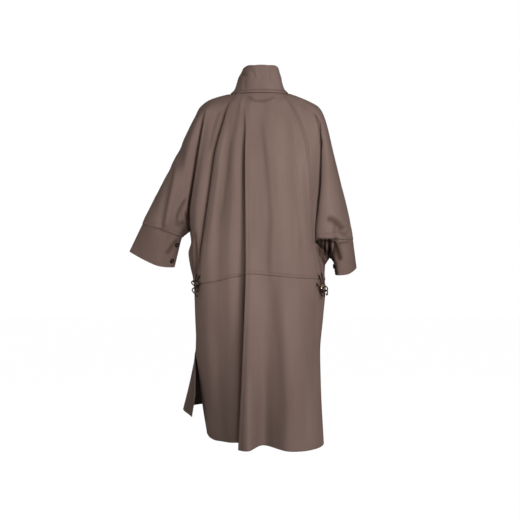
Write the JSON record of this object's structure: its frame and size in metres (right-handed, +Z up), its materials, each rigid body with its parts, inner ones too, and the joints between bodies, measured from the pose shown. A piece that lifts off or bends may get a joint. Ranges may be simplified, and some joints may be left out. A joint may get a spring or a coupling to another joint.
{
  "type": "trench coat",
  "caption": "Long loose leather coat with a funnel collar, raglan batwing sleeves, deep buttoned cuffs, a waist seam with side ties, side slits and a hem lower at the back.",
  "frame": {"origin": "base of the neck: on the neck's centre line, level with the collar seam at the shoulders", "axes": "+Z up along the wearer, the front faces -Y, the wearer's left is +X"},
  "size_m": [0.7665, 0.399, 1.2484],
  "materials": {
    "leather": "smooth matt",
    "horn": "satin",
    "brass": "aged",
    "cord": "matt"
  },
  "bodies": {
    "root": {"collar": "leather", "back_bodice": "leather", "back_skirt": "leather", "sleeve_back_l": "leather", "sleeve_front_l": "leather", "sleeve_back_r": "leather", "sleeve_front_r": "leather", "front_bodice_l": "leather", "front_bodice_r": "leather", "front_skirt_l": "leather", "front_skirt_r": "leather", "cuff_l": "leather", "cuff_r": "leather", "front_button_1": "horn", "front_button_2": "horn", "front_button_3": "horn", "front_button_4": "horn", "front_button_5": "horn", "front_button_6": "horn", "cuff_button_l_1": "horn", "cuff_button_l_2": "horn", "cuff_button_r_1": "horn", "cuff_button_r_2": "horn", "eyelet_l_1": "brass", "eyelet_l_2": "brass", "clasp_l": "brass", "bead_outer_l": "brass", "bead_inner_l": "brass", "knot_l": "cord", "strand_l_1": "cord", "strand_l_2": "cord", "loop_high_l": "cord", "loop_low_l": "cord", "tie_end_outer_l": "cord", "tie_end_inner_l": "cord", "eyelet_r_1": "brass", "eyelet_r_2": "brass", "clasp_r": "brass", "bead_outer_r": "brass", "bead_inner_r": "brass", "knot_r": "cord", "strand_r_1": "cord", "strand_r_2": "cord", "loop_high_r": "cord", "loop_low_r": "cord", "tie_end_outer_r": "cord", "tie_end_inner_r": "cord"}
  },
  "joints": []
}
